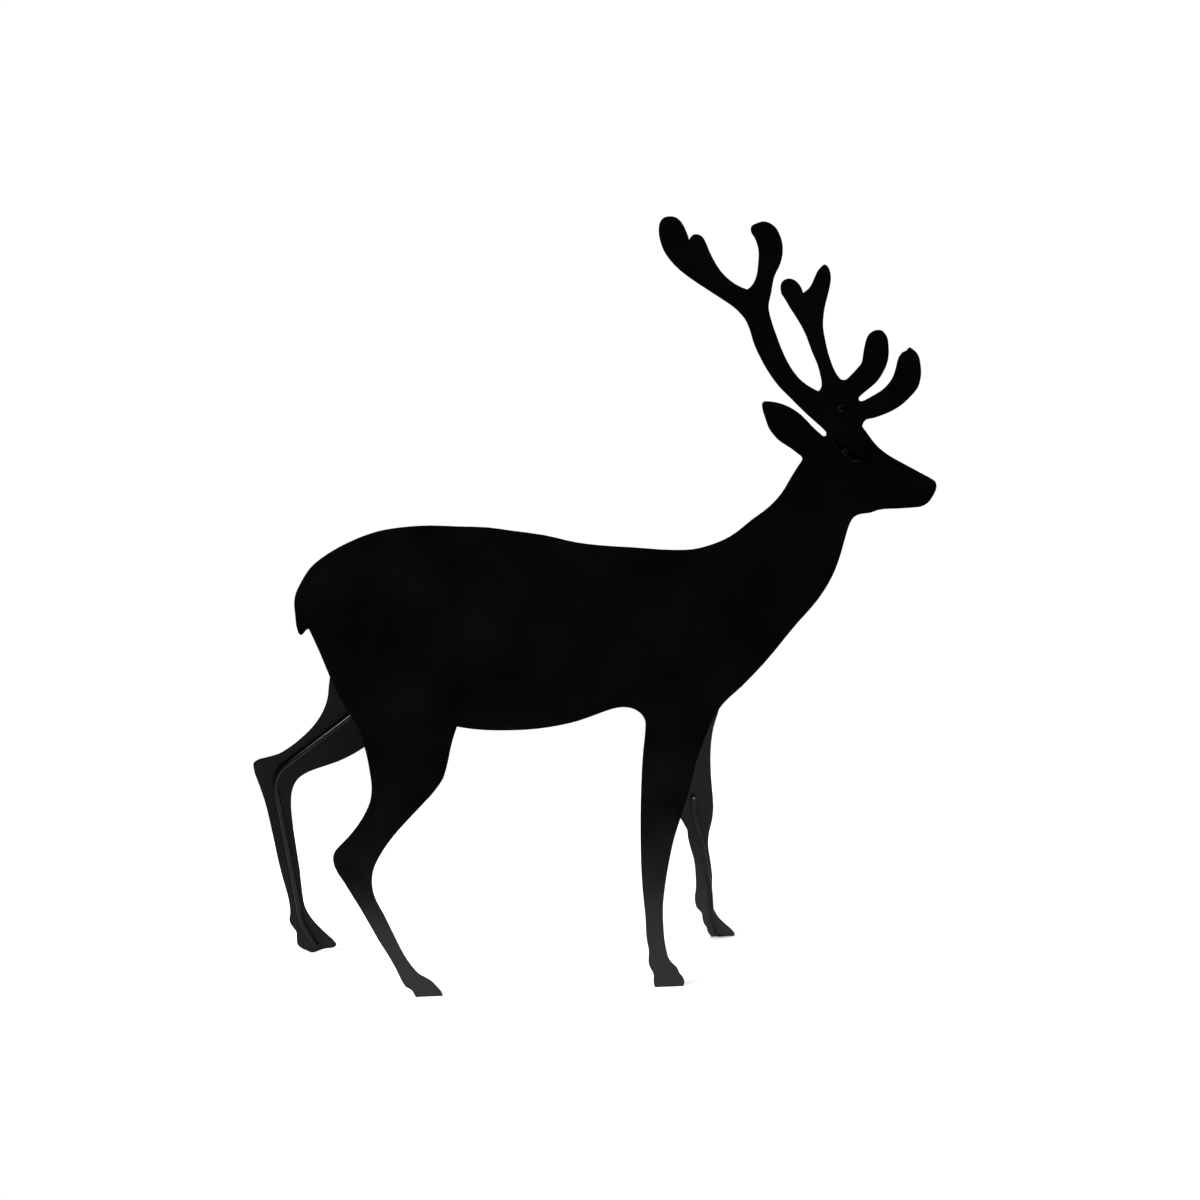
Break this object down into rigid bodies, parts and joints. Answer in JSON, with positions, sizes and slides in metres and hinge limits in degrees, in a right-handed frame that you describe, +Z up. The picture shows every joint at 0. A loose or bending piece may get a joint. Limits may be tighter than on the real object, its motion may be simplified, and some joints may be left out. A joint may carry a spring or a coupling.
{
  "type": "sheet metal stag statue",
  "caption": "Standing stag cut from flat steel sheet in satin black, with riveted antlers, folded far legs behind the body and bent round bars stiffening them.",
  "frame": {"origin": "bottom centre of the whole figure's box, on the ground under the body", "axes": "+Z up; +X along the body towards the head; +Y away from the side that is looked at, towards the far legs"},
  "size_m": [0.6232, 0.1582, 0.7002],
  "materials": {
    "black_sheet": "satin",
    "black_bar": "satin",
    "black_rivet": "satin"
  },
  "bodies": {
    "root": {"body_sheet": "black_sheet", "antler_sheet": "black_sheet", "antler_rivet_upper": "black_rivet", "antler_rivet_lower": "black_rivet", "far_hind_leg": "black_sheet", "far_foreleg": "black_sheet", "hind_leg_bar": "black_bar", "foreleg_bar": "black_bar"}
  },
  "joints": []
}
